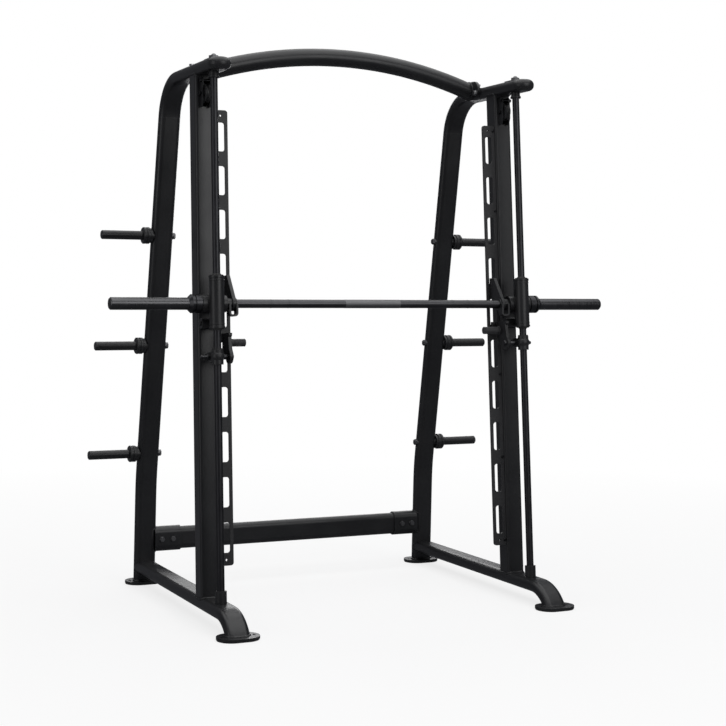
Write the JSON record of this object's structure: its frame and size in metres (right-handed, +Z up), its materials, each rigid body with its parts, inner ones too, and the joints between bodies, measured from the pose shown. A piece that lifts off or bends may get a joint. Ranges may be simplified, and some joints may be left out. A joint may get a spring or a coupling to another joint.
{
  "type": "smith machine",
  "caption": "Free-standing barbell machine: two side frames with leaning guide rods and slotted racking plates, a sliding turning bar with lock hooks, safety stops and weight horns.",
  "frame": {"origin": "on the floor, midway between the side frames and midway between the front and rear feet", "axes": "+X to the user's right across the machine, +Y to the rear, +Z up"},
  "size_m": [2.245, 1.342, 2.3765],
  "materials": {
    "frame_black": "satin powder coat",
    "rack_grey": "fine textured coat",
    "guide_steel": "ground and blackened",
    "bar_steel": "dark oxide",
    "moving_black": "satin",
    "zinc_bolt": "zinc plated",
    "rubber": "matte",
    "grip": "matte",
    "wheel": "matte",
    "bearing_steel": "ground",
    "weight_steel": "plain"
  },
  "bodies": {
    "frame": {"base_tube_left": "frame_black", "base_tube_right": "frame_black", "rear_leg_left": "frame_black", "rear_leg_right": "frame_black", "top_tube_left": "frame_black", "top_tube_right": "frame_black", "upright_left": "frame_black", "upright_right": "frame_black", "racking_plate_left": "rack_grey", "racking_plate_right": "rack_grey", "guide_rod_left": "guide_steel", "guide_rod_right": "guide_steel", "beam_socket_left": "frame_black", "beam_socket_right": "frame_black", "pulley_bracket_left": "frame_black", "pulley_bracket_right": "frame_black", "plate_lugs": "frame_black", "plate_bolts": "zinc_bolt", "rod_collars": "moving_black", "rod_caps": "zinc_bolt", "foot_plates": "frame_black", "foot_pads": "rubber", "weight_horns": "frame_black", "horn_collars": "frame_black", "horn_bolts": "zinc_bolt", "rear_beam": "frame_black", "beam_bolts": "zinc_bolt", "arch_tube": "frame_black", "arch_flanges": "frame_black", "arch_bolts": "zinc_bolt", "pulley_bolts": "zinc_bolt"},
    "carriage": {"carriage_housing_left": "moving_black", "carriage_housing_right": "moving_black", "linear_bearings_left": "bearing_steel", "linear_bearings_right": "bearing_steel", "bar_bearings_left": "bearing_steel", "bar_bearings_right": "bearing_steel", "cable_anchor_left": "moving_black", "cable_anchor_right": "moving_black"},
    "barbell": {"bar": "bar_steel", "sleeve_left": "bar_steel", "sleeve_right": "bar_steel", "bar_shoulder_left": "bar_steel", "bar_shoulder_right": "bar_steel", "lock_hook_left": "moving_black", "lock_hook_right": "moving_black"},
    "stop_left": {"stop_block_left": "moving_black", "stop_bumper_left": "rubber"},
    "lever_left": {"stop_shaft_left": "moving_black", "stop_lever_left": "moving_black", "stop_handle_left": "grip"},
    "wheel_left": {"pulley_left": "wheel"},
    "balance_left": {"counterweight_left": "weight_steel"},
    "stop_right": {"stop_block_right": "moving_black", "stop_bumper_right": "rubber"},
    "lever_right": {"stop_shaft_right": "moving_black", "stop_lever_right": "moving_black", "stop_handle_right": "grip"},
    "wheel_right": {"pulley_right": "wheel"},
    "balance_right": {"counterweight_right": "weight_steel"}
  },
  "joints": [
    {"name": "carriage_slide", "type": "slide", "parent": "frame", "child": "carriage", "axis": [0, 0.0659, 0.9978], "range_m": [0, 0.755]},
    {"name": "bar_turn", "type": "hinge", "parent": "carriage", "child": "barbell", "pos_m": [0, -0.29703, 1.26356], "axis": [1, 0, 0], "range_deg": [0, 50]},
    {"name": "stop_slide_left", "type": "slide", "parent": "frame", "child": "stop_left", "axis": [0, 0.0659, 0.9978], "range_m": [-0.87, 0]},
    {"name": "lever_turn_left", "type": "hinge", "parent": "stop_left", "child": "lever_left", "pos_m": [-0.66, -0.31892, 1.05354], "axis": [1, 0, 0], "range_deg": [0, 15]},
    {"name": "stop_slide_right", "type": "slide", "parent": "frame", "child": "stop_right", "axis": [0, 0.0659, 0.9978], "range_m": [-0.91, 0]},
    {"name": "lever_turn_right", "type": "hinge", "parent": "stop_right", "child": "lever_right", "pos_m": [0.66, -0.31609, 1.09645], "axis": [1, 0, 0], "range_deg": [0, 15]},
    {"name": "wheel_turn_left", "type": "hinge", "parent": "frame", "child": "wheel_left", "pos_m": [-0.7, -0.1804, 2.11873], "axis": [1, 0, 0], "continuous": true},
    {"name": "balance_slide_left", "type": "slide", "parent": "frame", "child": "balance_left", "axis": [0, 0.0659, 0.9978], "range_m": [-0.755, 0]},
    {"name": "wheel_turn_right", "type": "hinge", "parent": "frame", "child": "wheel_right", "pos_m": [0.7, -0.1804, 2.11873], "axis": [1, 0, 0], "continuous": true},
    {"name": "balance_slide_right", "type": "slide", "parent": "frame", "child": "balance_right", "axis": [0, 0.0659, 0.9978], "range_m": [-0.755, 0]}
  ],
  "couplings": [
    {"joint": "wheel_turn_left", "follows": "carriage_slide", "rad_per_m": -28.571},
    {"joint": "balance_slide_left", "follows": "carriage_slide", "ratio": -1},
    {"joint": "wheel_turn_right", "follows": "carriage_slide", "rad_per_m": -28.571},
    {"joint": "balance_slide_right", "follows": "carriage_slide", "ratio": -1}
  ]
}
